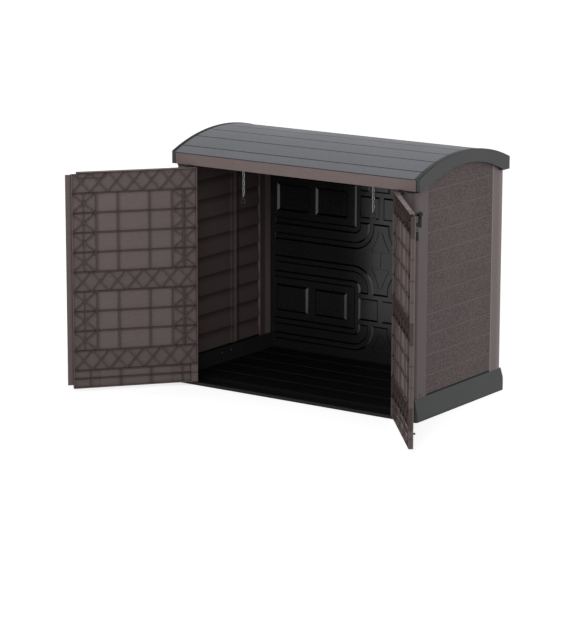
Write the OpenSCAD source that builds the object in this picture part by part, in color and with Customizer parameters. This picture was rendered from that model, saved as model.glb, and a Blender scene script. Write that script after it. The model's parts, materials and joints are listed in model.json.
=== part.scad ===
// Garden storage shed: arched lifting lid, two front doors, embossed back wall.
// Millimetres, +Z up, front towards -Y, origin on the ground under the middle of the base.
// The doors are drawn standing open, the lid closed.

/* [Cabinet] */
// Width over the faces of the side walls
body_w = 1404; // [1100:10:1700]
// Height of the walls under the straight edge of the lid
wall_h = 1105; // [900:5:1300]
// Height of one wall plank
plank_h = 98.7; // [80:0.1:130]
// Thickness of the wall planks at their thick edge
plank_t = 14; // [10:0.5:16]
// Depth of the groove between two planks
plank_groove = 3; // [1.5:0.5:4]
// Depth of the front columns, seen from the side
column_d = 98; // [70:1:130]
// Width of the front columns, seen from the front
column_w = 56; // [44:1:80]
// Depth of the rear posts, seen from the side
post_d = 110; // [80:1:140]
// Width of the rear posts, seen from behind
post_w = 21; // [18:0.5:24]
// Wall of the hollow columns and posts
tube_t = 4; // [3:0.5:6]
// Radius of the upright outer corners
corner_r = 20; // [10:1:24]

/* [Base] */
// Height of the skirt round the base
skirt_h = 112; // [80:1:150]
// How far the foot of the skirt stands out past the wall
skirt_flare = 13.5; // [5:0.5:25]
// Height of the floor above the ground
floor_h = 36; // [30:1:50]
// Thickness of the floor plate
floor_t = 7; // [5:0.5:12]
// Spacing of the grooves in the floor
floor_pitch = 155; // [100:5:220]
// Height of the door ledge in front of the floor
ledge_h = 16; // [12:1:24]
// Depth of the door ledge, front to back
ledge_d = 56; // [50:1:80]

/* [Back wall] */
// Thickness of the back panels
panel_t = 17; // [15:0.5:22]
// Depth of the bands of the moulded pattern
emboss = 6; // [4:0.5:7]
// Depth of the large rectangles
rect_depth = 8; // [6:0.5:9]
// Height of the large rectangles
rect_h = 144; // [110:1:160]
// Distance from the middle line to the first large rectangle
rect_x = 203; // [195:1:225]
// Space between the two large rectangles of one side
rect_gap = 42; // [36:1:60]
// Width of the bands of the pattern at the face of the panel
band_w = 38; // [32:1:42]
// Distance between the inner and the outer band
band_pitch = 80.5; // [70:0.5:84]

/* [Lid] */
// How far each end cap stands out past the side wall
lap_side = 19; // [18:1:30]
// How far the lid stands out past the front of the columns
lap_front = 10; // [8:1:14]
// How far the lid stands out past the rear of the posts
lap_rear = 18; // [16:1:24]
// Depth of the lid, front to back
lid_d = 826; // [800:2:900]
// Radius of the arched top
lid_r = 1069; // [900:1:1400]
// Thickness of the arched top
lid_t = 5; // [4:0.5:8]
// Height of the fascia along the front and rear edges
fascia_h = 59; // [50:1:80]
// Width of the planks of the arched top, along the arc
lid_plank = 118; // [90:1:150]
// Thickness of the end caps
cap_t = 18; // [12:1:24]
// Height of the end caps at the crown of the lid
cap_band = 60; // [45:1:80]
// Depth of the feet of the end caps, front and rear
cap_foot = 68; // [50:1:90]

/* [Doors] */
// Gap between each door and its column
door_gap = 3.5; // [2.5:0.5:6]
// Thickness of each door at its rim
door_t = 22; // [20:1:28]
// Thickness of the door's outer skin
door_skin = 6; // [5:0.5:8]
// Width of the cover lip on the left door
lip_w = 27; // [16:1:40]
// Height of the bracing ribs inside the doors
rib_h = 10; // [8:0.5:13]
// Width of the bracing ribs
rib_w = 3; // [2:0.5:5]
// Lattice crosses in each full band of a door
crosses = 7; // [4:1:10]
// Angle at which the doors stand open
door_open = 130; // [0:1:150]
// Radius of the door pivot pins
pivot_r = 4; // [3:0.5:6]

/* [Fittings] */
// Distance of the bottom bolts from the middle of the shed
bolt_x = 112; // [80:1:200]
// Radius of the bolt rods
bolt_r = 4; // [3:0.5:5]
// Travel of the bolts
bolt_travel = 20; // [10:1:24]
// Diameter of the chain wire
wire_d = 3.2; // [2.4:0.1:4]
// Links in each lid chain
links = 12; // [8:1:14]
// Distance of the lid chains from the middle of the shed
chain_x = 380; // [250:5:500]

/* [Hidden] */
$fn = 48;

// Clearances
fit = 0.3;
pin_fit = 0.08;

// Cabinet
wall_x = body_w / 2;
front_y = lid_d / 2 - lap_front;
rear_y = lid_d / 2 - lap_rear;
column_x = wall_x - column_w;
upstand_x = wall_x - 20;
upstand_t = 8;
skirt_t = 8;
wall_y0 = -front_y + column_d;
wall_y1 = rear_y - post_d;

// Back wall: the upper panel stands on the lower one at seam_z
panel_x = wall_x - post_w - fit;
face_y = rear_y - panel_t;
seam_z = wall_h / 2 + 10;
band_slope = 8;
rect_slope = 11;
rect_w = (panel_x - 40 - rect_x - rect_gap) / 2;
turn_x = rect_x - 40;
turn_z = rect_h / 2 + 29;
inner_r = 23;
outer_r = inner_r + band_pitch;
cross_z = turn_z - 32;

// Lid: the crown stands this high when the fascia meets the arc at the lid's edge
fascia_z = wall_h + 7;
arc_z = fascia_z + fascia_h - sqrt(pow(lid_r, 2) - pow(lid_d / 2, 2));
crown_z = arc_z + lid_r;
lid_x = wall_x + lap_side;
cap_x = lid_x - cap_t;
gable_r = lid_r - lid_t - fit;

// Doors
door_z0 = ledge_h + 6;
door_z1 = wall_h - 1;
door_y = front_y - 11;
door_x0 = lip_w / 2 + 1;
door_x1 = column_x - door_gap;
door_w = door_x1 - door_x0;
bolt_z0 = door_z0 + 2;
pivot_x = door_x1 - 26.5;
pivot_y = -door_y - 14;
lug_r = 13;
lug_h = 38;
bracket_t = 5.5;

// Turn latch
latch_x = 110;
latch_z = wall_h - 62;
spindle_r = 6;
plate_t = 4;
cam_l = fascia_z + 11 - latch_z;

// Lid hinges
hinge_y = lid_d / 2 - 2;
hinge_z = wall_h - 2;
hinge_r = 7;
hinge_pin_r = 3;
hinge_w = 60;
hinge_xs = [-0.36 * body_w, 0, 0.36 * body_w];

// Lid chains
chain_y = -front_y + 121;
eye_z = arc_z + sqrt(pow(lid_r - lid_t, 2) - pow(chain_y, 2)) - 9;
link_l = 26.6;
link_w = 13;
link_pitch = link_l - 2 * wire_d - 0.4;
hook_t = 4;
eye_r = 5;
chain_z = eye_z - (eye_r - 1.5 * wire_d + wire_d / 2 - 0.2) - (link_l - wire_d) / 2;
last_link_z = chain_z - (links - 1) * link_pitch;

BROWN = "#6e6160";
PANEL = "#5e5453";
GREY = "#4b4d4d";
TOP = "#74777b";
BLACK = "#191a1b";
STEEL = "#c9cbcd";

// Prism along X from a profile drawn in Y and Z
module along_x(x0, x1)
    translate([x0, 0, 0])
        rotate([90, 0, 90])
            linear_extrude(x1 - x0) children();

// Prism along Y from a profile drawn in X and Z
module along_y(y0, y1)
    translate([0, y1, 0])
        rotate([90, 0, 0])
            linear_extrude(y1 - y0) children();

// Prism along Z
module along_z(z0, z1)
    translate([0, 0, z0])
        linear_extrude(z1 - z0) children();

// Upright rectangle between two corners
module rect(x0, x1, y0, y1)
    translate([x0, y0]) square([x1 - x0, y1 - y0]);

module block(x0, x1, y0, y1, z0, z1)
    translate([x0, y0, z0]) cube([x1 - x0, y1 - y0, z1 - z0]);

// Rectangle with round corners
module round_rect(x0, x1, y0, y1, r) {
    rect(x0 + r, x1 - r, y0, y1);
    rect(x0, x1, y0 + r, y1 - r);
    for (x = [x0 + r, x1 - r], y = [y0 + r, y1 - r])
        translate([x, y]) circle(r);
}

// Straight bar of width w between two points
module bar(p, q, w)
    translate(p)
        rotate(atan2(q[1] - p[1], q[0] - p[0]))
            translate([0, -w / 2]) square([norm(q - p), w]);

module mirrored() mirror([1, 0, 0]) children();

// Everything under the arc of the lid, at radius r, in Y and Z
module under_arc(r)
    translate([0, arc_z]) circle(r, $fn = 360);

// Domed screw head just over the face at the origin, towards +Z
module screw_head(r)
    intersection() {
        translate([0, 0, -1.15 * r]) sphere(1.6 * r);
        translate([0, 0, fit]) cylinder(h = r, r = r);
    }

// Base

module skirt_profile(h) {
    steps = 8;
    outer = [for (i = [0 : steps])
        [skirt_flare * cos(90 * i / steps), h * (0.06 + 0.94 * i / steps)]];
    polygon(concat([[skirt_flare, 0]], outer, [[-skirt_t, h], [-skirt_t, 0]]));
}

// One side of the skirt, with its round corners and its short returns
module side_skirt() {
    foot_x = wall_x + skirt_flare;
    foot_y0 = -front_y - 3.7;
    foot_y1 = rear_y + skirt_flare;
    difference() {
        intersection() {
            along_y(foot_y0, foot_y1) translate([wall_x, 0]) {
                skirt_profile(skirt_h);
                rect(-column_w, 0, 0, skirt_h);
            }
            along_x(column_x, foot_x) {
                rect(foot_y0, rear_y, 0, skirt_h);
                translate([rear_y, 0]) skirt_profile(skirt_h);
            }
            along_z(0, skirt_h)
                round_rect(column_x - 60, foot_x, foot_y0, foot_y1, 15);
        }
        block(column_x - 1, wall_x - skirt_t, -front_y + ledge_d, rear_y - skirt_t,
            -1, skirt_h + 1);
        block(column_x + skirt_t, wall_x - skirt_t, -front_y + 5, -front_y + ledge_d + 1,
            -1, skirt_h - 6);
    }
}

module base_skirt_right() color(GREY) side_skirt();
module base_skirt_left() color(GREY) mirrored() side_skirt();

module base_skirt_rear() color(GREY)
    along_x(-column_x + fit, column_x - fit)
        translate([rear_y, 0]) skirt_profile(skirt_h);

// Moulded floor: grooved plate, ribs down to the ground and upstands at the sides
module floor_panel() color(BLACK) {
    y0 = -front_y + ledge_d + fit;
    y1 = rear_y - 12;
    bays = floor(2 * upstand_x / 168);
    rib_pitch = 2 * (upstand_x - 10) / bays;
    rows = floor((y1 - y0) / floor_pitch);
    difference() {
        union() {
            block(-upstand_x, upstand_x, y0, y1, floor_h - floor_t, floor_h);
            for (i = [0 : bays])
                block(-upstand_x + 10 + i * rib_pitch - 3, -upstand_x + 10 + i * rib_pitch + 3,
                    y0, y1, 0, floor_h - 1);
            for (y = [y0 + 4, 0, y1 - 4])
                block(-upstand_x, upstand_x, y - 4, y + 4, 0, floor_h - 1);
            block(-30, 30, -30, 30, 0, floor_h - 1);
            for (s = [-1, 1])
                block(s * upstand_x - upstand_t / 2, s * upstand_x + upstand_t / 2,
                    y0, face_y - fit, 0, skirt_h - 2);
        }
        for (i = [0 : rows - 1])
            block(-upstand_x + 20, upstand_x - 20, y0 + (i + 1) * floor_pitch - 12.5,
                y0 + (i + 1) * floor_pitch - 7.5, floor_h - 3, floor_h + 1);
    }
}

// Low front sill with the sockets of the door bolts
module threshold() color(BLACK)
    difference() {
        block(-column_x + fit, column_x - fit, -front_y - 3.7, -front_y + ledge_d,
            0, ledge_h);
        for (s = [-1, 1])
            along_z(bolt_z0 - bolt_travel - 1, ledge_h + 1)
                round_rect(s * bolt_x - 11, s * bolt_x + 11, -door_y - bolt_r - 2,
                    -door_y + bolt_r + 2, bolt_r + 1);
    }

// Walls

// Plank wall seen on end: grooved outside, saw-toothed inside, outer face at x = 0
module plank_profile(z0, z1) {
    count = ceil((z1 - z0) / plank_h);
    g = plank_groove;
    outer = [for (i = [0 : count - 1]) each [
        [-g, z0 + i * plank_h], [0, z0 + i * plank_h + g],
        [0, z0 + (i + 1) * plank_h - g]]];
    inner = [for (i = [count - 1 : -1 : 0]) each [
        [-plank_t / 2, z0 + (i + 1) * plank_h], [-plank_t, z0 + i * plank_h + 2]]];
    polygon(concat(outer, inner, [[-plank_t, z0]]));
}

module side_wall() {
    intersection() {
        union() {
            along_y(wall_y0 + fit, wall_y1 - fit)
                translate([wall_x, 0]) plank_profile(skirt_h + fit, crown_z);
            // Upright rib on the inner face
            along_y(35, 80)
                translate([wall_x, 0]) rect(-plank_t - 5, -plank_t / 2, skirt_h + fit, crown_z);
        }
        along_x(wall_x - 40, wall_x + 1) under_arc(gable_r);
    }
}

module side_wall_right() color(PANEL) side_wall();
module side_wall_left() color(PANEL) mirrored() side_wall();

// Upright seen from above, its corner at x1 and y0 round
module upright_2d(x0, x1, y0, y1, r)
    intersection() {
        rect(x0, x1, y0, y1);
        union() {
            translate([x1 - r, y0 + r]) circle(r);
            rect(x0 - r, x1 - r, y0, y1);
            rect(x0, x1, y0 + r, y1);
        }
    }

// Hollow upright, its top cut to the arc of the lid
module upright(x0, y0, y1)
    intersection() {
        along_z(skirt_h + fit, crown_z)
            difference() {
                upright_2d(x0, wall_x, y0, y1, corner_r);
                upright_2d(x0 + tube_t, wall_x - tube_t, y0 + tube_t, y1 - tube_t,
                    corner_r - tube_t);
            }
        along_x(x0 - 1, wall_x + 1) under_arc(gable_r);
    }

// The column is stepped down in front, under the top bracket of the door
module front_column()
    difference() {
        upright(column_x, -front_y, wall_y0);
        block(column_x - 1, wall_x + 1, -front_y - 1, -door_y + 4, wall_h, crown_z);
    }

// The post is cut level behind, under the lid's rear edge
module rear_post()
    difference() {
        mirror([0, 1, 0]) upright(wall_x - post_w, -rear_y, -wall_y1);
        block(column_x - 1, wall_x + 1, rear_y - 12, rear_y + 1, fascia_z - 2, crown_z);
    }

module front_column_right() color(BROWN) front_column();
module front_column_left() color(BROWN) mirrored() front_column();
module rear_post_right() color(BROWN) rear_post();
module rear_post_left() color(BROWN) mirrored() rear_post();

// Back wall

// Block with sloping sides, wide at y1 and narrower by the slope at y0
module bevel_block(x0, x1, z0, z1, y0, y1, slope)
    intersection() {
        along_z(z0 - 1, z1 + 1)
            polygon([[x0, y1], [x1, y1], [x1 - slope, y0], [x0 + slope, y0]]);
        along_x(x0 - 1, x1 + 1)
            polygon([[y1, z0], [y1, z1], [y0, z1 - slope], [y0, z0 + slope]]);
    }

// Places children along X from point p to point q of the panel's face, given in X and Z
module along_face(p, q)
    translate([p[0], 0, p[1]])
        rotate([0, -atan2(q[1] - p[1], q[0] - p[0]), 0])
            along_x(0, norm(q - p)) children();

// Sloped band on end, its depth along the first axis
module band_2d()
    polygon([[-1, -band_w / 2], [0, -band_w / 2], [emboss, -band_w / 2 + band_slope],
        [emboss, band_w / 2 - band_slope], [0, band_w / 2], [-1, band_w / 2]]);

// Straight piece of the band
module band(p, q) along_face(p, q) band_2d();

// Quarter turn of the band about the turning point, from level to upright
module band_turn(r)
    translate([turn_x, 0, turn_z])
        rotate([0, -90, 0]) rotate([90, 0, 0])
            rotate_extrude(angle = 90, $fn = 96)
                translate([r, 0]) rotate(-90) band_2d();

// Inner and outer band of one quarter of a panel, with the crossing between them
module bands() {
    x_end = panel_x - 30;
    for (r = [inner_r, outer_r]) {
        band([turn_x, turn_z + r], [x_end, turn_z + r]);
        band_turn(r);
    }
    band([turn_x - inner_r, 0], [turn_x - inner_r, turn_z]);
    band([turn_x - outer_r, cross_z], [turn_x - outer_r, turn_z]);
    band([0, cross_z], [turn_x - inner_r, cross_z]);
}

// Large rectangles of one quarter of a panel
module rects()
    for (x = [rect_x, rect_x + rect_w + rect_gap])
        mirror([0, 1, 0])
            bevel_block(x, x + rect_w, -rect_h / 2, rect_h / 2, -rect_depth, 1, rect_slope);

// Outline of the bottle-shaped figures over and under the crossing, grown or shrunk
module figure_2d(grow)
    for (m = [0, 1]) mirror([0, m]) translate([0, turn_z]) {
        right = [[12, 21 - grow], [17, 44], [24, 59], [34, 84], [47, 102], [51, 111],
            [51, 120 + grow]];
        polygon(concat([for (p = right) [p[0] + grow, p[1]]],
            [for (i = [len(right) - 1 : -1 : 0]) [-right[i][0] - grow, right[i][1]]]));
    }

// Fine lines: the two figures and the stems from them to the edges of the panel
module lines_2d(down, up) {
    difference() {
        figure_2d(4);
        figure_2d(-4);
    }
    rect(-1.5, 1.5, turn_z + 120, up + 1);
    rect(-1.5, 1.5, -down - 1, -turn_z - 120);
}

// Four mirrored quarters about the pattern's centre at the face of the panel
module quarters(zc)
    for (m = [0, 1], n = [0, 1])
        translate([0, face_y, zc]) mirror([m, 0, 0]) mirror([0, 0, n]) children();

// Moulded double panel: the pattern is sunk in the upper one and stands out on the lower one
module back_panel(z0, z1, zc, sunk)
    difference() {
        union() {
            block(-panel_x, panel_x, face_y, rear_y - fit, z0, z1);
            if (!sunk)
                intersection() {
                    union() {
                        quarters(zc) mirror([0, 1, 0]) {
                            bands();
                            rects();
                        }
                        translate([0, face_y, zc]) mirror([0, 1, 0]) band([0, -cross_z], [0, cross_z]);
                    }
                    block(-panel_x, panel_x, face_y - 20, face_y + 2, z0, z1);
                }
        }
        if (sunk) {
            quarters(zc) {
                bands();
                rects();
            }
            translate([0, face_y, zc]) band([0, -cross_z], [0, cross_z]);
        }
        along_y(face_y - 1, face_y + 3)
            translate([0, zc]) lines_2d(zc - z0, z1 - zc);
        // Rebate over the skirt
        block(-wall_x, wall_x, rear_y - skirt_t - fit, rear_y, z0 - 1, skirt_h + fit);
    }

module back_panel_lower() color(BLACK)
    back_panel(floor_h + fit, seam_z, seam_z - outer_r - 150, false);

module back_panel_upper() color(BLACK)
    back_panel(seam_z + fit, fascia_z - 2, seam_z + outer_r + 172, true);

// Lid

module lid_shell() color(TOP) {
    groove = 4;
    half_planks = floor(0.43 * lid_d / lid_plank);
    difference() {
        along_x(-cap_x, cap_x)
            difference() {
                intersection() {
                    under_arc(lid_r);
                    rect(-lid_d / 2, lid_d / 2, fascia_z + 1, crown_z + 1);
                }
                under_arc(lid_r - lid_t);
                for (i = [-half_planks : half_planks])
                    translate([0, arc_z]) rotate(i * lid_plank / lid_r * 180 / PI)
                        rect(-groove / 2, groove / 2, lid_r - 2.5, lid_r + 2);
            }
    }
    rib_n = 7;
    for (i = [0 : rib_n - 1]) {
        x = -column_x + 60 + i * 2 * (column_x - 60) / (rib_n - 1);
        along_x(x - 2, x + 2)
            difference() {
                intersection() {
                    under_arc(lid_r - lid_t + 0.5);
                    rect(-lid_d / 2 + 12, lid_d / 2 - 12, fascia_z + 10, crown_z);
                }
                under_arc(lid_r - lid_t - 14);
            }
    }
}

// Fascia strip: a plate with a return along its foot, front edge at y = 0
module fascia_profile() {
    polygon([[0, 1], [1, 0], [20, 0], [20, 4], [5, 4], [5, fascia_h - 2], [9, fascia_h + 1.2],
        [0, fascia_h - 2.2]]);
}

module fascia()
    along_x(-cap_x + fit, cap_x - fit)
        intersection() {
            translate([-lid_d / 2, fascia_z]) fascia_profile();
            under_arc(lid_r - lid_t - 0.1);
        }

module lid_fascia_front() color(BROWN) fascia();
module lid_fascia_rear() color(BROWN) mirror([0, 1, 0]) fascia();

// Arched end cap: its lower edge is an arc from foot to foot
module end_cap() {
    half = lid_d / 2 - cap_foot;
    rise = crown_z - cap_band - fascia_z - 9;
    arch_r = (half * half + rise * rise) / (2 * rise);
    along_x(cap_x, lid_x)
        difference() {
            intersection() {
                under_arc(lid_r);
                rect(-lid_d / 2, lid_d / 2, fascia_z, crown_z);
            }
            intersection() {
                translate([0, crown_z - cap_band - arch_r]) circle(arch_r, $fn = 360);
                rect(-half, half, 0, crown_z);
            }
        }
    // Raised lip along the edge of the arch
    along_x(cap_x + cap_t / 3, lid_x)
        intersection() {
            difference() {
                under_arc(lid_r + 2.5);
                under_arc(lid_r - 1);
            }
            rect(-lid_d / 2, lid_d / 2, fascia_z + 20, crown_z + 3);
        }
}

module lid_end_cap_right() color(GREY) end_cap();
module lid_end_cap_left() color(GREY) mirrored() end_cap();

// Lid hinges: knuckles behind the rear wall, carried by a leaf on the wall and one on the lid

module knuckle(x0, x1)
    translate([x0, hinge_y, hinge_z]) rotate([0, 90, 0]) cylinder(h = x1 - x0, r = hinge_r);

module hinge_bore(r, x)
    translate([x - hinge_w, hinge_y, hinge_z]) rotate([0, 90, 0]) cylinder(h = 2 * hinge_w, r = r);

module lid_hinge_fixed_leaves() color(BLACK)
    for (x = hinge_xs) {
        h = hinge_w / 2;
        difference() {
            union() {
                block(x - h, x + h, rear_y, rear_y + 4, hinge_z - 8 - 0.7 * hinge_w, hinge_z - 8);
                for (e = [[x - h, x - h / 3], [x + h / 3, x + h]]) {
                    knuckle(e[0], e[1]);
                    block(e[0], e[1], rear_y, hinge_y + 4, hinge_z - 14, hinge_z - 3);
                }
            }
            hinge_bore(hinge_pin_r, x);
        }
    }

module lid_hinge_moving_leaves() color(BLACK)
    for (x = hinge_xs) {
        h = hinge_w / 2;
        difference() {
            union() {
                block(x - h, x + h, lid_d / 2, lid_d / 2 + 4, hinge_z + 16, hinge_z + 16 + h);
                knuckle(x - h / 3 + fit, x + h / 3 - fit);
                block(x - h / 3 + fit, x + h / 3 - fit, lid_d / 2, hinge_y + hinge_r - 1,
                    hinge_z, hinge_z + 20);
            }
            hinge_bore(hinge_pin_r + pin_fit, x);
        }
    }

module lid_hinge_pins() color(STEEL)
    for (x = hinge_xs)
        translate([x - hinge_w / 2 - 1, hinge_y, hinge_z]) rotate([0, 90, 0])
            cylinder(h = hinge_w + 2, r = hinge_pin_r);

// Doors, drawn closed for the right side and then swung open

module door_swing()
    translate([pivot_x, pivot_y, 0])
        rotate([0, 0, door_open])
            translate([-pivot_x, -pivot_y, 0]) children();

// Bracing pattern in X and Z, between the door's inner and outer edge
module lattice_2d() {
    rows = [door_z1 - 106, door_z1 - 597, door_z0 + 88, door_z0 + 47];
    pitch = (door_w - 16) / crosses;
    x0 = door_x0 + 8;
    side = 123;
    step = (rows[0] - rows[1] - plank_h) / 4;
    // Diamond bands
    for (z = [door_z1 - 4, rows[0] - 4 * step, rows[2] + 100])
        for (i = [0 : crosses - 1]) {
            a = x0 + i * pitch;
            bar([a, z - 98], [a + pitch, z], rib_w);
            bar([a, z], [a + pitch, z - 98], rib_w);
        }
    // Horizontal ribs
    levels = concat([for (i = [0 : 4]) rows[0] - i * step], [rows[1]],
        [for (i = [1 : 2]) rows[1] - i * (rows[1] - rows[2] - 100) / 3],
        [rows[2] + 100, rows[2], rows[3]]);
    for (z = levels)
        rect(door_x0, door_x1, z - rib_w / 2, z + rib_w / 2);
    // Side columns with one cross per cell
    cells = concat([for (i = [0 : 3]) [rows[0] - (i + 1) * step, rows[0] - i * step]],
        [for (i = [0 : 2]) [rows[1] - (i + 1) * (rows[1] - rows[2] - 100) / 3,
            rows[1] - i * (rows[1] - rows[2] - 100) / 3]]);
    for (c = cells) {
        for (e = [[door_x0, door_x0 + side], [door_x1 - side, door_x1]]) {
            bar([e[0], c[0]], [e[1], c[1]], rib_w);
            bar([e[0], c[1]], [e[1], c[0]], rib_w);
        }
        for (x = [door_x0 + side / 2, door_x0 + side, door_x0 + side + 109,
                door_x1 - side - 113, door_x1 - side, door_x1 - side / 2 - 8,
                door_x1 - side / 2 + 3])
            rect(x - rib_w / 2, x + rib_w / 2, c[0], c[1]);
    }
    // Foot strips
    for (i = [1 : 4])
        rect(door_x0 + i * 155 - 70, door_x0 + i * 155 - 70 + rib_w, door_z0, rows[2]);
}

module door_panel(left) {
    y0 = -door_y;
    notch = 10;
    difference() {
        union() {
            // Outer skin with its plank grooves
            difference() {
                union() {
                    block(door_x0, door_x1, y0, y0 + door_skin, door_z0, door_z1);
                    if (left)
                        block(door_x0 - lip_w, door_x0 + 1, y0, y0 + 4, door_z0 + 15,
                            door_z1 - 13);
                }
                for (i = [0 : floor((door_z1 - door_z0) / plank_h)])
                    translate([0, y0, door_z1 - 106 + (1 - i) * plank_h])
                        rotate([45, 0, 0]) cube([3 * door_w, 4, 4], center = true);
            }
            // Rim
            along_y(y0 + door_skin - 1, y0 + door_t)
                difference() {
                    rect(door_x0, door_x1, door_z0, door_z1);
                    rect(door_x0 + 4, door_x1 - 4, door_z0 + 4, door_z1 - 4);
                }
            // Bracing
            along_y(y0 + door_skin - 1, y0 + door_skin + rib_h)
                intersection() {
                    lattice_2d();
                    rect(door_x0 + 1, door_x1 - 1, door_z0 + 1, door_z1 - 1);
                }
            // Corner block over the lower pivot
            block(door_x1 - 34, door_x1 - 2, y0 + door_skin - 1, y0 + door_t, door_z0 + 2,
                door_z0 + 92);
            // Boss round the latch spindle
            if (!left)
                at_latch() translate([0, 0, -door_t]) cylinder(h = door_t - 1, r = 14);
            // Pivot lugs
            for (z = [door_z0, door_z1 - lug_h]) {
                translate([pivot_x, pivot_y, z]) cylinder(h = lug_h, r = lug_r);
                block(pivot_x - lug_r, pivot_x + lug_r, pivot_y, y0 + 1, z, z + lug_h);
            }
        }
        for (z = [door_z0 - 1, door_z1 - lug_h - 1])
            translate([pivot_x, pivot_y, z]) cylinder(h = lug_h + 2, r = pivot_r + pin_fit);
        if (!left)
            at_latch() translate([0, 0, -door_t - 1])
                cylinder(h = door_t + 2, r = spindle_r + pin_fit);
        // Step in the free top corner
        block(door_x0 - 1, door_x0 + 27, y0 - 1, y0 + door_t + 1, door_z1 - notch, door_z1 + 1);
        // Pocket for the bolt
        block(bolt_x - 15, bolt_x + 15, y0 - 1, y0 + bolt_r + 0.5, door_z0 - 1, door_z0 + 78);
    }
}

module door_panel_right() color(BROWN) door_swing() door_panel(false);
module door_panel_left() color(BROWN) mirrored() door_swing() door_panel(true);

// Bolt guides: two keepers in the pocket, each with a bore for the rod
module bolt_guides()
    for (z = [door_z0 + 6, door_z0 + 58])
        difference() {
            block(bolt_x - 15 + fit, bolt_x + 15 - fit, -door_y - bolt_r - 3,
                -door_y + bolt_r + 0.5, z, z + 12);
            translate([bolt_x, -door_y - 0.5, z - 1]) cylinder(h = 14, r = bolt_r + pin_fit);
        }

module bolt() {
    knob_z = door_z0 + 46;
    translate([bolt_x, -door_y - 0.5, bolt_z0]) cylinder(h = 74, r = bolt_r);
    translate([bolt_x, -door_y - 0.5, knob_z]) rotate([90, 0, 0]) cylinder(h = 18, r = 3.5);
    translate([bolt_x, -door_y - 16, knob_z]) rotate([90, 0, 0]) cylinder(h = 6, r = 5);
}

module bolt_guides_right() color(BLACK) door_swing() bolt_guides();
module bolt_guides_left() color(BLACK) mirrored() door_swing() bolt_guides();
module bolt_right() color(GREY) door_swing() bolt();
module bolt_left() color(GREY) mirrored() door_swing() bolt();

// Turn latch near the free top corner of the right door

// Places children with Z along the latch spindle, outwards, origin in the door's outer face
module at_latch()
    translate([latch_x, -door_y, latch_z]) rotate([90, 0, 0]) children();

module latch_plate() color(GREY) door_swing()
    difference() {
        at_latch() linear_extrude(plate_t) round_rect(-12, 12, -80, 34, 6);
        at_latch() translate([0, 0, -1]) cylinder(h = plate_t + 2, r = spindle_r + pin_fit);
    }

// Turning handle and its spindle through the door
module latch_handle() color(BLACK) door_swing()
    at_latch() {
        translate([0, 0, -door_t - 1]) cylinder(h = door_t + 2 + plate_t, r = spindle_r);
        translate([0, 0, plate_t + fit]) cylinder(h = 4, r = 15);
        translate([0, 0, plate_t + fit]) cylinder(h = 22, r = 9);
        translate([0, 0, plate_t + 20]) linear_extrude(14) round_rect(-8, 8, -14, 32, 6);
    }

// Tongue on the inner end of the spindle: it turns up behind the lid's fascia
module latch_cam() color(BLACK) door_swing()
    at_latch() translate([0, 0, -door_t - 1 - 5])
        linear_extrude(5) {
            circle(12);
            rect(0, cam_l, -8, 8);
        }

// Door brackets: round-nosed plates on the ledge and on top of the columns

module bracket(z, reach)
    difference() {
        along_z(z, z + bracket_t) {
            translate([pivot_x, pivot_y]) circle(17);
            rect(pivot_x - 17, reach, pivot_y, -door_y + 3);
            rect(pivot_x, reach, pivot_y - 4, -door_y + 3);
        }
        translate([pivot_x, pivot_y, z - 1]) cylinder(h = bracket_t + 2, r = pivot_r);
    }

module door_brackets_top() color(BLACK)
    for (s = [0, 1]) mirror([s, 0, 0])
        bracket(wall_h + fit, wall_x - 12);

module door_brackets_bottom() color(BLACK)
    for (s = [0, 1]) mirror([s, 0, 0])
        bracket(ledge_h, column_x - 1);

module door_pivot_pins() color(STEEL)
    for (s = [0, 1]) mirror([s, 0, 0]) {
        translate([pivot_x, pivot_y, ledge_h]) cylinder(h = bracket_t + lug_h - 4, r = pivot_r);
        translate([pivot_x, pivot_y, wall_h + fit + bracket_t - (bracket_t + lug_h - 4)])
            cylinder(h = bracket_t + lug_h - 4, r = pivot_r);
    }

// Screws

module upstand_screws() color(STEEL)
    for (s = [0, 1], k = [-0.15, 0.06, 0.25, 0.45]) mirror([s, 0, 0])
        translate([upstand_x - upstand_t / 2, k * rear_y, skirt_h - 27]) rotate([0, -90, 0]) screw_head(4);

module column_screws() color(BLACK)
    for (s = [0, 1]) mirror([s, 0, 0])
        translate([wall_x, -front_y + 0.45 * column_d, skirt_h + 13]) rotate([0, 90, 0]) screw_head(5);

// Lid chains

// One link: two round ends joined by straight wires, long axis along Z
module link() {
    r = (link_w - wire_d) / 2;
    s = link_l / 2 - link_w / 2;
    for (e = [0, 1]) mirror([0, 0, e])
        translate([0, 0, s]) rotate([90, 0, 0])
            rotate_extrude(angle = 180) translate([r, 0]) circle(d = wire_d, $fn = 16);
    for (x = [-r, r])
        translate([x, 0, -s]) cylinder(h = 2 * s, d = wire_d, $fn = 16);
}

module chain()
    for (i = [0 : links - 1])
        translate([chain_x, chain_y, chain_z - link_pitch * i])
            rotate([0, 0, i % 2 == 0 ? 0 : 90]) link();

module chain_right() color(STEEL) chain();
module chain_left() color(STEEL) mirrored() chain();

// Flat open hook on the last link: it widens downwards and is open to one side
module chain_hook() {
    hole_r = 3.6;
    top = wire_d + 1.3;
    z = last_link_z - link_l / 2 + wire_d + 0.75 - hole_r;
    translate([chain_x, chain_y, z])
        rotate([0, 0, links % 2 == 0 ? 0 : 90])
            along_y(-hook_t / 2, hook_t / 2)
                difference() {
                    polygon([[-5, hole_r + 3], [5, hole_r + 3], [8, -5], [15, -26], [13, -33],
                        [-13, -33], [-15, -26], [-8, -5]]);
                    circle(hole_r);
                    translate([1, -20]) circle(7);
                    bar([1, -20], [24, -12], top);
                }
}

module chain_hook_right() color(BLACK) chain_hook();
module chain_hook_left() color(BLACK) mirrored() chain_hook();

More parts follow.
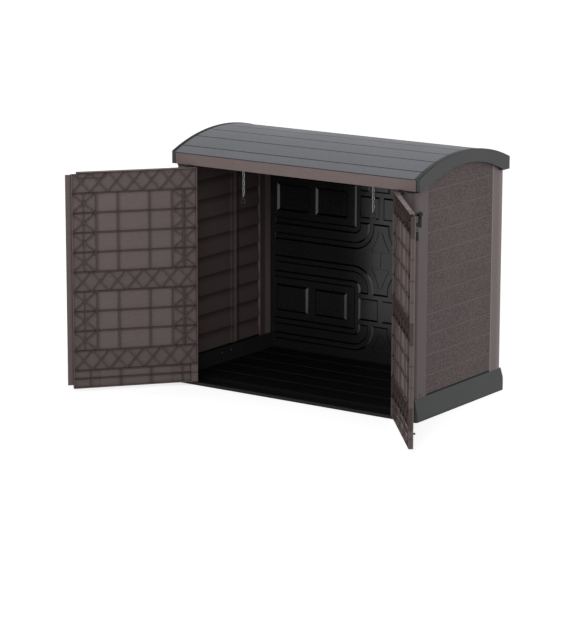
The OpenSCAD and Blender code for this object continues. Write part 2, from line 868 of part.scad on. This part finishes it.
// Eyes of the chains, each on a short stem under the lid
module chain_eyelets() color(STEEL)
    for (s = [0, 1]) mirror([s, 0, 0]) {
        translate([chain_x, chain_y, eye_z])
            rotate([90, 0, 90])
                rotate_extrude() translate([eye_r, 0]) circle(d = wire_d, $fn = 16);
        intersection() {
            translate([chain_x, chain_y, eye_z + eye_r - 1]) cylinder(h = 20, r = 4);
            along_x(chain_x - 10, chain_x + 10) under_arc(lid_r - lid_t - 0.1);
        }
    }

floor_panel();
threshold();
base_skirt_left();
base_skirt_right();
base_skirt_rear();
side_wall_left();
side_wall_right();
front_column_left();
front_column_right();
rear_post_left();
rear_post_right();
back_panel_lower();
back_panel_upper();
door_brackets_top();
door_brackets_bottom();
door_pivot_pins();
lid_hinge_fixed_leaves();
lid_hinge_pins();
upstand_screws();
column_screws();
lid_shell();
lid_fascia_front();
lid_fascia_rear();
lid_end_cap_left();
lid_end_cap_right();
lid_hinge_moving_leaves();
chain_eyelets();
door_panel_left();
bolt_guides_left();
bolt_left();
door_panel_right();
bolt_guides_right();
bolt_right();
latch_plate();
latch_handle();
latch_cam();
chain_left();
chain_right();
chain_hook_left();
chain_hook_right();
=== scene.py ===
"""Garden storage shed with an arched lid and two front doors: its finishes and its smallest
fittings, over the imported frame. Metres, front towards -Y, origin on the ground."""

import json
import math

import bmesh
import bpy
from mathutils import Matrix, Vector


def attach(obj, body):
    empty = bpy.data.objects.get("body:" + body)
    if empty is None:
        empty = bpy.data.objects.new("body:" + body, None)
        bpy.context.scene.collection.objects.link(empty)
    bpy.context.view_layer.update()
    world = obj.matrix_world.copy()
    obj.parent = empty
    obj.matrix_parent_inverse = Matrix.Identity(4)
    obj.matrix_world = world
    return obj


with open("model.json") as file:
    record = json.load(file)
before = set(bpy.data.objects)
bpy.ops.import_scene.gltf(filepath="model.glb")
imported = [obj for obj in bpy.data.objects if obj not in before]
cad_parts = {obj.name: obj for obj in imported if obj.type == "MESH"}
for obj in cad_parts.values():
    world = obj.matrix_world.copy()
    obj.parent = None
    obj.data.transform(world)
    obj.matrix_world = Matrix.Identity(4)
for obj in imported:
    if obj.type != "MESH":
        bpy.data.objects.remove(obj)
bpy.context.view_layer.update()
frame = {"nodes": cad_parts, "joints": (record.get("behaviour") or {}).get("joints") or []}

# Base skirt and sill
# Three charcoal skirt mouldings clip together round the foot of the shed, and a black sill
# closes the front. Injection-moulded polypropylene with a fine spark-eroded grain: satin, and
# a little broken up where the light grazes it.


def linear(code):
    """sRGB hex to the linear colour that the shader takes."""
    parts = [int(code[i:i + 2], 16) / 255 for i in (1, 3, 5)]
    return [c / 12.92 if c <= 0.04045 else ((c + 0.055) / 1.055) ** 2.4 for c in parts] + [1.0]


def add(tree, kind, inputs=(), **settings):
    """Adds a node with its settings. An input takes a value, or a node or output to link."""
    node = tree.nodes.new("ShaderNode" + kind)
    for name, value in settings.items():
        setattr(node, name, value)
    pairs = inputs.items() if isinstance(inputs, dict) else enumerate(inputs)
    for key, value in pairs:
        if isinstance(value, bpy.types.Node):
            value = value.outputs[0]
        if isinstance(value, bpy.types.NodeSocket):
            tree.links.new(value, node.inputs[key])
        else:
            node.inputs[key].default_value = value
    return node


def grained(name, light, dark, roughness, grain_mm, depth_mm, turn=0.0, corner_shade_mm=14,
            deepest=0.35, specular=0.2, metallic=0.0, ior=1.49):
    """A finish of two close tones in a grain, whose size is given along X, Y and Z.

    Spark-eroded grain is really 0.2 to 0.5 mm. It is drawn at 2 mm or more, so that it shows.
    """
    material = bpy.data.materials.new(name)
    material.use_nodes = True
    tree = material.node_tree
    tree.nodes.clear()
    place = add(tree, "TexCoord").outputs["Object"]
    turned = add(tree, "Mapping", {"Vector": place, "Rotation": (0, 0, turn)})
    stretched = add(tree, "Mapping", {"Vector": turned, "Scale": [1000 / mm for mm in grain_mm]})
    grain = add(tree, "TexNoise", {"Vector": stretched, "Scale": 1.0, "Detail": 3.0,
                                   "Roughness": 0.6})
    # Clouds a third of a metre across, as every large moulding has
    cloud_mm, grain_share = 1000 / 3, 0.82
    cloud = add(tree, "TexNoise", {"Vector": place, "Scale": 1000 / cloud_mm, "Detail": 4.0,
                                   "Roughness": 0.55})
    clouded = add(tree, "Math", [cloud, 1 - grain_share], operation="MULTIPLY")
    both = add(tree, "Math", [grain, grain_share, clouded], operation="MULTIPLY_ADD")
    tone = add(tree, "ValToRGB", [both])
    dark_until, light_from = 0.36, 0.64
    for stop, position, code in zip(tone.color_ramp.elements, (dark_until, light_from),
                                    (dark, light)):
        stop.position = position
        stop.color = linear(code)
    bump = add(tree, "Bump", {"Strength": 0.6, "Distance": depth_mm / 1000, "Height": grain})
    gloss_change = 0.05
    gloss = add(tree, "MapRange", {
        "Value": cloud, "From Min": 0.3, "From Max": 0.7,
        "To Min": roughness - gloss_change, "To Max": roughness + gloss_change})
    # Painted shade: the colour is deeper in corners and at the feet of ribs, where less light
    # reaches
    painted_corner_shade = add(tree, "AmbientOcclusion", {"Color": tone, "Distance": corner_shade_mm / 1000},
                 samples=6)
    open_share = add(tree, "MapRange", {"Value": painted_corner_shade.outputs["AO"], "From Min": 0.35,
                                        "From Max": 0.95, "To Min": deepest, "To Max": 1.0})
    # A colour mix takes its factor at input 0 and its two colours at 6 and 7
    shaded = add(tree, "Mix", {0: open_share, 6: linear("#0d0a0a"), 7: tone}, data_type="RGBA")
    shader = add(tree, "BsdfPrincipled", {
        "Base Color": shaded.outputs[2], "Normal": bump, "Roughness": gloss, "IOR": ior,
        "Specular IOR Level": specular, "Metallic": metallic})
    add(tree, "OutputMaterial", {"Surface": shader})
    return material


def put_on(material, *names):
    """Gives CAD nodes their finish."""
    for name in names:
        slots = frame["nodes"][name].data.materials
        slots.clear()
        slots.append(material)


skirt_grey = grained("skirt_polypropylene_charcoal", "#4c4d4e", "#434445", roughness=0.5,
                     grain_mm=(2, 2, 2), depth_mm=0.05)
put_on(skirt_grey, "base_skirt_left", "base_skirt_right", "base_skirt_rear")
sill_black = grained("sill_polypropylene_black", "#101010", "#090909", roughness=0.5,
                     grain_mm=(3, 3, 3), depth_mm=0.05, specular=0.25)
put_on(sill_black, "threshold")

# Floor
# One black floor moulding, grooved across, with upstands where the side walls are screwed on.
# Injection-moulded polypropylene, smoother than the skirt and scuffed dull by what stands on it.


def place_of(tree):
    """X, Y and Z of the point, in the frame's metres."""
    return add(tree, "SeparateXYZ", [add(tree, "TexCoord").outputs["Object"]]).outputs


def tint(material, code, share, *masks):
    """Lays a colour over the finish where every mask is 1, as strongly as the share says."""
    tree = material.node_tree
    factor = share
    for mask in masks:
        factor = add(tree, "Math", [factor, mask], operation="MULTIPLY")
    base = tree.nodes["Principled BSDF"].inputs["Base Color"]
    mixed = add(tree, "Mix", {0: factor, 6: base.links[0].from_socket, 7: linear(code)},
                data_type="RGBA")
    tree.links.new(mixed.outputs[2], base)


floor_black = grained("floor_polypropylene_black", "#0b0b0b", "#060606", roughness=0.6,
                      grain_mm=(6, 3, 3), depth_mm=0.06, specular=0.12)
tree = floor_black.node_tree
x, y = place_of(tree)[:2]
# Painted highlight: the edges of the grooves are a little paler, where they catch the light
grooves, groove_first, groove_step, groove_half = 4, -0.2017, 0.155, 0.0035
for row in range(grooves):
    line = add(tree, "Math", [y, groove_first + groove_step * row, groove_half],
               operation="COMPARE")
    tint(floor_black, "#303030", 0.8, line)
# The upstands are painted paler than the rest of the floor
upstand_from = 0.672
off_middle = add(tree, "Math", [x], operation="ABSOLUTE")
upstand = add(tree, "Math", [off_middle, upstand_from], operation="GREATER_THAN")
tint(floor_black, "#2c2c2d", 0.85, upstand)
put_on(floor_black, "floor_panel")

# Side walls
# Plank walls that slide into the columns. Each is one polypropylene moulding, embossed with a
# coarse wood grain outside, drawn at its real 5 mm, and smooth inside, with a V-groove between
# two planks. A painted highlight marks each groove outside, painted shade each plank top inside.

wall_brown = grained("wall_polypropylene_wood_grain", "#6e6161", "#3b3232", roughness=0.62,
                     grain_mm=(5, 7, 4.5), depth_mm=0.6, deepest=0.6)
plank_foot, plank_pitch, wall_skin = 0.1123, 0.0987, 0.6975
tree = wall_brown.node_tree
x, y, z = place_of(tree)
off_middle = add(tree, "Math", [x], operation="ABSOLUTE")
outside = add(tree, "Math", [off_middle, wall_skin], operation="GREATER_THAN")
inside = add(tree, "Math", [1.0, outside], operation="SUBTRACT")
# How far up its own plank a point lies, from 0 to 1
above = add(tree, "Math", [z, plank_foot], operation="SUBTRACT")
above = add(tree, "Math", [above, plank_pitch], operation="DIVIDE")
plank = add(tree, "Math", [above], operation="FRACT")
# Inside, the wall is smooth: nearly one tone
tint(wall_brown, "#5b4e4d", 0.75, inside)
# Painted shade: inside, the foot of each plank overhangs the next one, whose top is darkened
# below it
painted_overhang_shade = add(tree, "MapRange", {"Value": plank, "From Min": 0.62, "From Max": 1.0, "To Max": 0.6})
tint(wall_brown, "#1f1717", 1.0, painted_overhang_shade, inside)
# Painted highlight: outside, the groove is paler, where it catches the light
plank_middle, face_half = 0.5, 0.472
off_centre = add(tree, "Math", [plank, plank_middle], operation="SUBTRACT")
off_centre = add(tree, "Math", [off_centre], operation="ABSOLUTE")
painted_groove_highlight = add(tree, "Math", [off_centre, face_half], operation="GREATER_THAN")
tint(wall_brown, "#8a7e7f", 0.6, painted_groove_highlight, outside)
# Painted highlight on the face of the upright rib that turns to the front,
# painted shadow on the wall behind it
for rib_y, rib_half, code in ((0.066, 0.0145, "#7c6e6d"), (0.095, 0.014, "#221b1b")):
    painted_rib_light_and_shade = add(tree, "Math", [y, rib_y, rib_half], operation="COMPARE")
    tint(wall_brown, code, 0.5, painted_rib_light_and_shade, inside)
# Painted shade: the wall's foot is black where it stands in the gap over the skirt
joint_top = 0.121
painted_gap_shade = add(tree, "Math", [z, joint_top], operation="LESS_THAN")
tint(wall_brown, "#0d0c0c", 1.0, painted_gap_shade)
put_on(wall_brown, "side_wall_left", "side_wall_right")

# Columns and posts
# Hollow front columns and rear posts with round outer corners. They stand in the base and hold
# the walls in their slots. Brown polypropylene, with faint streaks up along them where the melt
# ran in the mould.

column_brown = grained("column_polypropylene_brown", "#675e5f", "#5b5253", roughness=0.5,
                       grain_mm=(2, 2, 40), depth_mm=0.04)
put_on(column_brown, "front_column_left", "front_column_right")
post_brown = grained("post_polypropylene_brown", "#7b6f6e", "#6d6160", roughness=0.46,
                     grain_mm=(2, 2, 40), depth_mm=0.04)
tree = post_brown.node_tree
x, y = place_of(tree)[:2]
off_middle = add(tree, "Math", [x], operation="ABSOLUTE")
# The front half of a post's inner face lies deep in the shade, and looks like the wall
inner_face, shade_end = 0.6825, 0.327
inner = add(tree, "Math", [off_middle, inner_face], operation="LESS_THAN")
front = add(tree, "Math", [y, shade_end], operation="LESS_THAN")
tint(post_brown, "#4b3f3e", 0.85, front, inner)
# Painted highlights outside: the front edge is paler, and the rounded rear corner grows paler
# towards the back, where it turns to the light
outer_from, edge_end, corner_from, corner_end = 0.69, 0.294, 0.34, 0.395
outer = add(tree, "Math", [off_middle, outer_from], operation="GREATER_THAN")
painted_edge_highlight = add(tree, "Math", [y, edge_end], operation="LESS_THAN")
tint(post_brown, "#918685", 0.6, painted_edge_highlight, outer)
painted_corner_light = add(tree, "MapRange", {"Value": y, "From Min": corner_from, "From Max": corner_end,
                               "To Max": 0.5})
tint(post_brown, "#b3aaaa", 1.0, painted_corner_light, outer)
put_on(post_brown, "rear_post_left", "rear_post_right")

# Back wall
# Two panels with a sunk and a raised pattern of rectangles and tracks, pushed in between the
# posts. Blow-moulded polyethylene, black, glossier than the injection-moulded parts, so that
# its flats mirror what stands before them.

back_black = grained("back_polyethylene_black", "#222223", "#19191a", roughness=0.17,
                     grain_mm=(6, 6, 6), depth_mm=0.02, specular=0.42)
tree = back_black.node_tree
slope = add(tree, "SeparateXYZ", [add(tree, "TexCoord").outputs["Normal"]]).outputs
# Painted shade on the slopes of the pattern: the level ones, and the upright ones that face left
level = add(tree, "Math", [slope["Z"]], operation="ABSOLUTE")
to_left = add(tree, "Math", [slope["X"], -1.0], operation="MULTIPLY")
for steepness, code in ((level, "#020202"), (to_left, "#060606")):
    painted_slope_shade_and_glint = add(tree, "MapRange", {"Value": steepness, "From Min": 0.15, "From Max": 0.4})
    tint(back_black, code, 1.0, painted_slope_shade_and_glint)
# Painted highlight on the upright slopes that face right, which are paler
painted_slope_shade_and_glint = add(tree, "MapRange", {"Value": slope["X"], "From Min": 0.35, "From Max": 0.55,
                               "To Max": 0.7})
tint(back_black, "#5a5a5a", 1.0, painted_slope_shade_and_glint)
put_on(back_black, "back_panel_lower", "back_panel_upper")

# Lid
# An arched top of grey planks with a fine grain, brown fascias along both straight edges and
# charcoal caps on the arched ends, clipped and screwed together. Moulded polypropylene: satin
# on top, with painted shade in the joints, in the grooves and underneath.


def over_arch(tree, y, z):
    """The height over the centre of the lid's arch, and the distance from it."""
    arch_centre = 0.185
    rise = add(tree, "Math", [z, arch_centre], operation="SUBTRACT")
    y_square = add(tree, "Math", [y, y], operation="MULTIPLY")
    rise_square = add(tree, "Math", [rise, rise], operation="MULTIPLY")
    square = add(tree, "Math", [y_square, rise_square], operation="ADD")
    return rise, add(tree, "Math", [square], operation="SQRT")


roof_grey = grained("lid_polypropylene_grey", "#6c6f75", "#5a5d62", roughness=0.55,
                    grain_mm=(9, 4, 4), depth_mm=0.25, specular=0.5)
tree = roof_grey.node_tree
x, y, z = place_of(tree)
rise, radius = over_arch(tree, y, z)
# Painted shade: the open joint between the planks and the end caps is black
right_joint, left_joint = 0.690, -0.701
for joint_x, beyond in ((right_joint, "GREATER_THAN"), (left_joint, "LESS_THAN")):
    tint(roof_grey, "#0c0c0d", 1.0, add(tree, "Math", [x, joint_x], operation=beyond))
# Painted shade too in the grooves between two planks and on the underside, which lie nearer
# the arch's centre
plank_top = 1.0682
painted_sunk_shade = add(tree, "Math", [radius, plank_top], operation="LESS_THAN")
tint(roof_grey, "#1b1b1c", 0.95, painted_sunk_shade)
# The rounded edges of each groove lie in its shade. Twenty planks more keep the count above 0
arch_radius, lid_plank, edge_shade = 1.069, 0.118, 0.0032
angle = add(tree, "Math", [y, rise], operation="ARCTAN2")
along = add(tree, "Math", [angle, arch_radius / lid_plank], operation="MULTIPLY")
counted = add(tree, "Math", [along, 20 + 0.5], operation="ADD")
off_groove = add(tree, "Math", [counted], operation="FRACT")
off_groove = add(tree, "Math", [off_groove, 0.5], operation="SUBTRACT")
off_groove = add(tree, "Math", [off_groove], operation="ABSOLUTE")
near = add(tree, "Math", [off_groove, edge_shade / lid_plank], operation="LESS_THAN")
tint(roof_grey, "#232427", 0.8, near)
put_on(roof_grey, "lid_shell")

fascia_brown = grained("fascia_polypropylene_brown", "#7b6d6b", "#716463", roughness=0.5,
                       grain_mm=(40, 2, 2), depth_mm=0.04)
tree = fascia_brown.node_tree
# Painted shade: its ends are dark where they go into the slots of the caps
slot_from = 0.699
off_middle = add(tree, "Math", [place_of(tree)["X"]], operation="ABSOLUTE")
painted_slot_shade = add(tree, "Math", [off_middle, slot_from], operation="GREATER_THAN")
tint(fascia_brown, "#1a1717", 1.0, painted_slot_shade)
put_on(fascia_brown, "lid_fascia_front", "lid_fascia_rear")

cap_grey = grained("cap_polypropylene_charcoal", "#4c4c4c", "#424343", roughness=0.5,
                   grain_mm=(2, 2, 2), depth_mm=0.05)
tree = cap_grey.node_tree
# Painted shade: the narrow lip along the top of a cap is black, beside the joint
lip_from = 1.0698
radius = over_arch(tree, *place_of(tree)[1:])[1]
painted_lip_shade = add(tree, "Math", [radius, lip_from], operation="GREATER_THAN")
tint(cap_grey, "#0b0b0c", 0.9, painted_lip_shade)
put_on(cap_grey, "lid_end_cap_left", "lid_end_cap_right")

# Doors
# Two doors on steel pins, planked outside and braced inside with thin ribs in squares and
# crosses. Brown moulded polypropylene, streaked a little along its planks, with painted shade
# along the ribs and in their corners, and painted light in the plain cells.

joints = {joint["name"]: joint for joint in frame["joints"]}
# They stand open in the frame, by as much as they can close
door_turn = math.radians(-joints["door_right_hinge"]["range_deg"][0])
top_row, row_pitch, upper_rows = 0.998, 0.0981, 5
cell_rows = [top_row - row_pitch * row for row in range(upper_rows)]
cell_rows += [0.507, 0.408, 0.309, 0.21, 0.11, 0.069]
cell_columns = [0.142, 0.250, 0.404, 0.519]
cells_middle, cells_half = 0.33, 0.188
crossed_bands, band_half = [1.051, 0.556, 0.16], 0.0495
skin_depth, rib_depth, rib_half = 0.0185, 0.0265, 0.0055
rib_shade_share, less_in_cells = 0.3, 0.2
boss_radius, boss_from = 0.0145, 1.087


def shade_along(material, lines, place, where, code, share, sharp, wide):
    """Shade along ribs, full as near to each line as sharp and gone at wide."""
    tree = material.node_tree
    for line in lines:
        off_line = add(tree, "Math", [place, line], operation="SUBTRACT")
        off_line = add(tree, "Math", [off_line], operation="ABSOLUTE")
        near = add(tree, "MapRange", {"Value": off_line, "From Min": sharp, "From Max": wide,
                                      "To Min": share, "To Max": 0.0})
        tint(material, code, 1.0, near, where)


# Painted light and shade, set for each door: the right door turns its crossed bands away from
# the light, so they are painted darker on it, and its cells paler
for side, sign, band_shade_code, band_shade_share, cell_light_code in (
        ("right", 1, "#493c3b", 0.85, "#9a8b88"), ("left", -1, "#615655", 0.4, "#746765")):
    door_brown = grained("door_polypropylene_brown_" + side, "#6e6261", "#5f5453",
                         roughness=0.55, grain_mm=(30, 3, 3), depth_mm=0.08,
                         turn=-sign * door_turn, corner_shade_mm=6, deepest=0.6)
    tree = door_brown.node_tree
    # The point's place on the closed door: from the pin, inwards, and from the shed's middle
    hinge_x, hinge_y = joints[f"door_{side}_hinge"]["pos_m"][:2]
    closed = add(tree, "Mapping", {
        "Vector": add(tree, "TexCoord").outputs["Object"], "Location": (hinge_x, hinge_y, 0),
        "Rotation": (0, 0, sign * door_turn)}, vector_type="TEXTURE")
    from_pin, depth, z = add(tree, "SeparateXYZ", [closed]).outputs
    closed_x = add(tree, "Math", [from_pin, hinge_x], operation="ADD")
    from_middle = add(tree, "Math", [closed_x, sign], operation="MULTIPLY")
    inner = add(tree, "Math", [depth, skin_depth], operation="GREATER_THAN")
    between = inner
    for band_z in crossed_bands:
        band = add(tree, "Math", [z, band_z, band_half], operation="COMPARE")
        no_band = add(tree, "Math", [1.0, band], operation="SUBTRACT")
        between = add(tree, "Math", [between, no_band], operation="MULTIPLY")
    bands = add(tree, "Math", [inner, between], operation="SUBTRACT")
    # Painted light: the plain cells are a little paler than the crossed bands round them
    cells = add(tree, "Math", [from_middle, cells_middle, cells_half], operation="COMPARE")
    cells = add(tree, "Math", [cells, inner], operation="MULTIPLY")
    cells = add(tree, "Math", [cells, bands], operation="SUBTRACT")
    cells = add(tree, "Math", [cells, 0.0], operation="MAXIMUM")
    tint(door_brown, cell_light_code, 0.35, cells)
    tint(door_brown, band_shade_code, band_shade_share, bands)
    # Painted shade: the ribs are thin and darker than the skin between them,
    # those of the cells least
    ribs = add(tree, "Math", [depth, rib_depth, rib_half], operation="COMPARE")
    less = add(tree, "Math", [cells, less_in_cells], operation="MULTIPLY")
    painted_rib_shade = add(tree, "Math", [rib_shade_share, less], operation="SUBTRACT")
    tint(door_brown, "#2b2120", 1.0, ribs, painted_rib_shade)
    # Soft shade along the upright ribs of the cells, a sharper line along the level ones
    shade_along(door_brown, cell_columns, from_middle, cells, "#3a3230", share=0.42, sharp=0.0,
                wide=0.016)
    shade_along(door_brown, cell_rows, z, inner, "#2b2120", share=0.5, sharp=0.0015, wide=0.006)
    # The pin boss at the top corner is painted black round the steel pin
    off_pin = add(tree, "CombineXYZ", [from_pin, depth])
    away = add(tree, "VectorMath", [off_pin], operation="LENGTH").outputs["Value"]
    boss = add(tree, "Math", [away, boss_radius], operation="LESS_THAN")
    top = add(tree, "Math", [z, boss_from], operation="GREATER_THAN")
    tint(door_brown, "#0c0b0b", 0.9, boss, top)
    put_on(door_brown, "door_panel_" + side)

# Label frame
# An oblong rim moulded across the bracing of the left door, at its free upper corner, and bare
# inside. The same polypropylene as the door, dark with handling, and it stands a little over
# the ribs.


def new_piece(name, bm, material):
    """Turns a bmesh into an object, in its place already, with its finish."""
    mesh = bpy.data.meshes.new(name)
    bm.to_mesh(mesh)
    bm.free()
    mesh.materials.append(material)
    piece = bpy.data.objects.new(name, mesh)
    bpy.context.collection.objects.link(piece)
    return piece


rim_brown = grained("label_frame_polypropylene_brown", "#463c3b", "#3c3232", roughness=0.55,
                    grain_mm=(30, 3, 3), depth_mm=0.05, turn=door_turn)
rim_long, rim_high, rim_line, rim_thick = 0.142, 0.028, 0.003, 0.0015
rim_from_hinge = (0.5, 0.0295, 0.586)
bm = bmesh.new()
bmesh.ops.create_circle(bm, cap_ends=True, segments=40, radius=rim_high / 2)
for way in (-1, 1):
    bmesh.ops.translate(bm, vec=(way * (rim_long - rim_high) / 2, 0, 0),
                        verts=[v for v in bm.verts if v.co.x * way > 1e-6])
bmesh.ops.inset_individual(bm, faces=list(bm.faces), thickness=rim_line)
middle = max(bm.faces, key=lambda face: len(face.verts))
bmesh.ops.delete(bm, geom=[middle], context="FACES_ONLY")
raised = bmesh.ops.extrude_face_region(bm, geom=list(bm.faces))["geom"]
bmesh.ops.translate(bm, vec=(0, 0, rim_thick),
                    verts=[part for part in raised if isinstance(part, bmesh.types.BMVert)])
bmesh.ops.recalc_face_normals(bm, faces=bm.faces)
# Stood up against the rib tops of the closed door, then swung open with it
bmesh.ops.transform(bm, verts=bm.verts, matrix=(
    Matrix.Translation(joints["door_left_hinge"]["pos_m"]) @ Matrix.Rotation(-door_turn, 4, "Z")
    @ Matrix.Translation(rim_from_hinge) @ Matrix.Rotation(math.radians(-90), 4, "X")))
rim = new_piece("label_frame", bm, rim_brown)
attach(rim, "door_left")

# Black fittings and bolts
# Door brackets, hinge leaves, bolt guides, the latch, the chain hooks and the caps of the
# column screws, screwed or clipped on, and the two sliding bolts. Moulded glass-filled
# polyamide: hard and satin, with a dull glint along the edges.

fitting_black = grained("fitting_polyamide_black", "#121213", "#0b0b0c", roughness=0.5,
                        grain_mm=(2, 2, 2), depth_mm=0.03, specular=0.35)
put_on(fitting_black, "door_brackets_top", "door_brackets_bottom", "bolt_guides_left",
       "bolt_guides_right", "latch_handle", "latch_cam", "latch_plate",
       "lid_hinge_fixed_leaves", "lid_hinge_moving_leaves", "column_screws",
       "chain_hook_left", "chain_hook_right")
bolt_grey = grained("bolt_polyamide_grey", "#4a4b4c", "#3f4041", roughness=0.45,
                    grain_mm=(2, 2, 2), depth_mm=0.03)
put_on(bolt_grey, "bolt_left", "bolt_right")

# Lock head and lock strip
# A round head above the turning handle and a raised strip down the plate below it, both screwed
# to the outside of the right door. The same black polyamide: the head has softly rounded edges,
# and the strip's own are rounded by nearly 3 mm.

# From the latch's spindle, with Y up and Z out of the door
latch_place = (Matrix.Translation(joints["latch_turn"]["pos_m"])
               @ Matrix.Rotation(door_turn, 4, "Z") @ Matrix.Rotation(math.radians(90), 4, "X"))
head_radius, neck_radius, foot_radius, head_out, head_up = 0.0135, 0.008, 0.0125, 0.044, 0.0465
# Half the head's section, from its axis and out of the door
outline = [(0, -0.0005), (foot_radius, -0.0005), (foot_radius, 0.006), (neck_radius, 0.010),
           (neck_radius, 0.022), (head_radius - 0.002, 0.023), (head_radius, 0.026),
           (head_radius, head_out - 0.005), (head_radius - 0.003, head_out - 0.001),
           (head_radius - 0.007, head_out), (0, head_out)]
bm = bmesh.new()
rail = [bm.verts.new((away, 0, out)) for away, out in outline]
edges = [bm.edges.new(pair) for pair in zip(rail, rail[1:])]
bmesh.ops.spin(bm, geom=rail + edges, cent=(0, 0, 0), axis=(0, 0, 1), dvec=(0, 0, 0),
               angle=math.tau, steps=40, use_merge=True, use_duplicate=False)
bmesh.ops.remove_doubles(bm, verts=bm.verts, dist=1e-5)
bmesh.ops.recalc_face_normals(bm, faces=bm.faces)
bmesh.ops.translate(bm, vec=(0, head_up, 0), verts=bm.verts)
bmesh.ops.transform(bm, verts=bm.verts, matrix=latch_place)
head = new_piece("latch_lock_head", bm, fitting_black)
for face in head.data.polygons:
    face.use_smooth = True
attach(head, "door_right")

strip_wide, strip_long, strip_thick, strip_corner = 0.013, 0.042, 0.022, 0.0028
strip_below, plate_thick = 0.034, 0.004
bm = bmesh.new()
bmesh.ops.create_cube(bm, size=1)
bmesh.ops.scale(bm, vec=(strip_wide, strip_long, strip_thick), verts=bm.verts)
bmesh.ops.bevel(bm, geom=list(bm.edges), offset=strip_corner, offset_type="OFFSET", segments=3,
                profile=0.5, affect="EDGES", material=-1)
bmesh.ops.translate(bm, verts=bm.verts, vec=(
    0, -strip_below - strip_long / 2, plate_thick + strip_thick / 2))
bmesh.ops.transform(bm, verts=bm.verts, matrix=latch_place)
strip = new_piece("latch_lock_strip", bm, fitting_black)
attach(strip, "door_right")

# Steel fittings
# Hinge pins, the screws of the upstands, and the lid's chains with their eyelets. Drawn and bent
# steel wire and headed screws, zinc-plated by the barrel: bright grey, softly mirroring, with a
# faint mottle from the plating, drawn at 3 mm so that it shows.

zinc = grained("zinc_plated_steel", "#c2c4c8", "#a5a8ac", roughness=0.42, grain_mm=(3, 3, 3),
               depth_mm=0.02, metallic=1.0, ior=1.5)
put_on(zinc, "door_pivot_pins", "lid_hinge_pins", "upstand_screws", "chain_eyelets",
       "chain_left", "chain_right")

# Studio
# A white paper floor and backdrop, a large soft lamp from the front left, a fill from the right,
# and the camera of the photograph.


def background_ray(tree):
    """1 for the rays that show the background: straight from the camera, by gloss or glass."""
    ray = add(tree, "LightPath").outputs
    shown = add(tree, "Math", [ray["Is Camera Ray"], ray["Is Glossy Ray"]], operation="MAXIMUM")
    return add(tree, "Math", [shown, ray["Is Transmission Ray"]], operation="MAXIMUM")


paper_glow, paper_half = 0.66, 40
paper_white = bpy.data.materials.new("paper_white")
paper_white.use_nodes = True
tree = paper_white.node_tree
tree.nodes.clear()
matt = add(tree, "BsdfDiffuse", {"Color": linear("#e7e7e7")})
seen = add(tree, "Math", [background_ray(tree), paper_glow], operation="MULTIPLY")
glow = add(tree, "Emission", {"Strength": seen})
add(tree, "OutputMaterial", {"Surface": add(tree, "AddShader", [matt, glow])})
bm = bmesh.new()
bmesh.ops.create_grid(bm, x_segments=1, y_segments=1, size=paper_half)
paper = new_piece("paper_floor", bm, paper_white)

room_level, backdrop_level = 0.48, 1.0
world = bpy.data.worlds.new("studio")
bpy.context.scene.world = world
world.use_nodes = True
tree = world.node_tree
tree.nodes.clear()
level = add(tree, "MapRange", {"Value": background_ray(tree), "To Min": room_level,
                               "To Max": backdrop_level})
sky = add(tree, "Background", {"Color": linear("#ffffff"), "Strength": level})
add(tree, "OutputWorld", {"Surface": sky})


def soft_lamp(name, place, side, watts):
    """A square lamp that faces the shed and doesn't show in its gloss."""
    data = bpy.data.lights.new(name, "AREA")
    data.shape = "RECTANGLE"
    data.size = data.size_y = side
    data.energy = watts
    lamp = bpy.data.objects.new(name, data)
    bpy.context.collection.objects.link(lamp)
    shed_middle = Vector((0, 0, 0.6))
    lamp.location = place
    lamp.visible_glossy = False
    lamp.rotation_euler = (shed_middle - Vector(place)).to_track_quat("-Z", "Y").to_euler()


soft_lamp("key_lamp", place=(2.2, -6.0, 4.2), side=3.5, watts=170)
soft_lamp("side_lamp", place=(6.5, 1.0, 3.2), side=3.0, watts=60)

# The camera's place, turn, tilt, roll and lens, as the shed's own edges in the photograph give
camera_data = bpy.data.cameras.new("camera")
camera_data.sensor_width = 36
camera_data.lens = 160.18
camera_data.clip_end = 60
camera = bpy.data.objects.new("camera", camera_data)
bpy.context.collection.objects.link(camera)
camera.location = (7.44197, -11.18832, 3.35320)
camera_turn, camera_tilt, camera_roll = map(math.radians, (34.861, 77.522, 0.099))
camera.rotation_euler = (Matrix.Rotation(camera_turn, 3, "Z")
                         @ Matrix.Rotation(camera_tilt, 3, "X")
                         @ Matrix.Rotation(camera_roll, 3, "Z")).to_euler()
bpy.context.scene.camera = camera
bpy.context.scene.view_settings.view_transform = "Standard"
